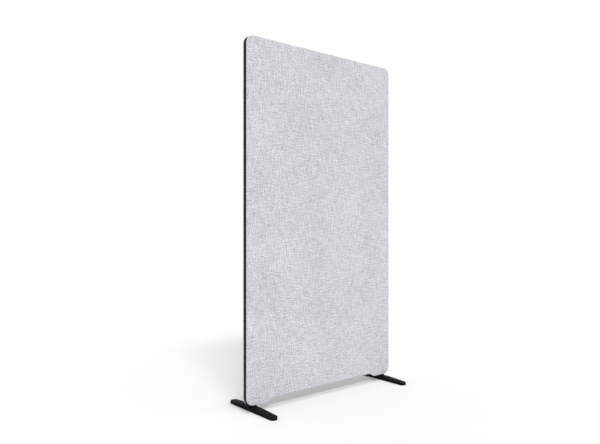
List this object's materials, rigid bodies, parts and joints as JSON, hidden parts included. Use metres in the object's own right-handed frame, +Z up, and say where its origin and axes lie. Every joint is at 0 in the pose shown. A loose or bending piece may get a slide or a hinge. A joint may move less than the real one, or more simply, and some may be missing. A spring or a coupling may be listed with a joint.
{
  "type": "freestanding partition wall",
  "caption": "Free-standing acoustic partition wall: slim fabric-faced panel with rounded corners, black edge band and raised lower edge, standing on flat black feet.",
  "frame": {"origin": "on the floor, under the middle of the panel", "axes": "+X along the panel, +Y from the front face to the rear face, +Z up"},
  "size_m": [1, 0.36, 1.8],
  "materials": {
    "fabric": "light grey melange weave",
    "felt": "pressed polyester felt",
    "absorber": "mineral fibre slab",
    "timber": "planed birch",
    "edge_plastic": "matt black",
    "painted_steel": "black powder coat, fine texture",
    "plated_steel": "zinc plated",
    "insert_brass": "turned",
    "glide_rubber": "matt black"
  },
  "bodies": {
    "root": {"bottom_rail": "timber", "edge_band": "edge_plastic", "front_fabric_cover": "fabric", "front_felt_pad": "felt", "left_bottom_dowel_1": "timber", "left_bottom_dowel_2": "timber", "left_foot_bar": "painted_steel", "left_foot_block": "timber", "left_foot_bolt_1": "plated_steel", "left_foot_bolt_2": "plated_steel", "left_foot_flange": "painted_steel", "left_foot_insert_1": "insert_brass", "left_foot_insert_2": "insert_brass", "left_foot_post": "painted_steel", "left_foot_washer_1": "plated_steel", "left_foot_washer_2": "plated_steel", "left_front_glide": "glide_rubber", "left_middle_dowel_1": "timber", "left_middle_dowel_2": "timber", "left_rear_glide": "glide_rubber", "left_stile": "timber", "left_stile_dowel_1": "timber", "left_stile_dowel_2": "timber", "left_top_dowel_1": "timber", "left_top_dowel_2": "timber", "lower_absorber_slab": "absorber", "middle_rail": "timber", "rear_fabric_cover": "fabric", "rear_felt_pad": "felt", "right_bottom_dowel_1": "timber", "right_bottom_dowel_2": "timber", "right_foot_bar": "painted_steel", "right_foot_block": "timber", "right_foot_bolt_1": "plated_steel", "right_foot_bolt_2": "plated_steel", "right_foot_flange": "painted_steel", "right_foot_insert_1": "insert_brass", "right_foot_insert_2": "insert_brass", "right_foot_post": "painted_steel", "right_foot_washer_1": "plated_steel", "right_foot_washer_2": "plated_steel", "right_front_glide": "glide_rubber", "right_middle_dowel_1": "timber", "right_middle_dowel_2": "timber", "right_rear_glide": "glide_rubber", "right_stile": "timber", "right_stile_dowel_1": "timber", "right_stile_dowel_2": "timber", "right_top_dowel_1": "timber", "right_top_dowel_2": "timber", "top_rail": "timber", "upper_absorber_slab": "absorber"}
  },
  "joints": []
}
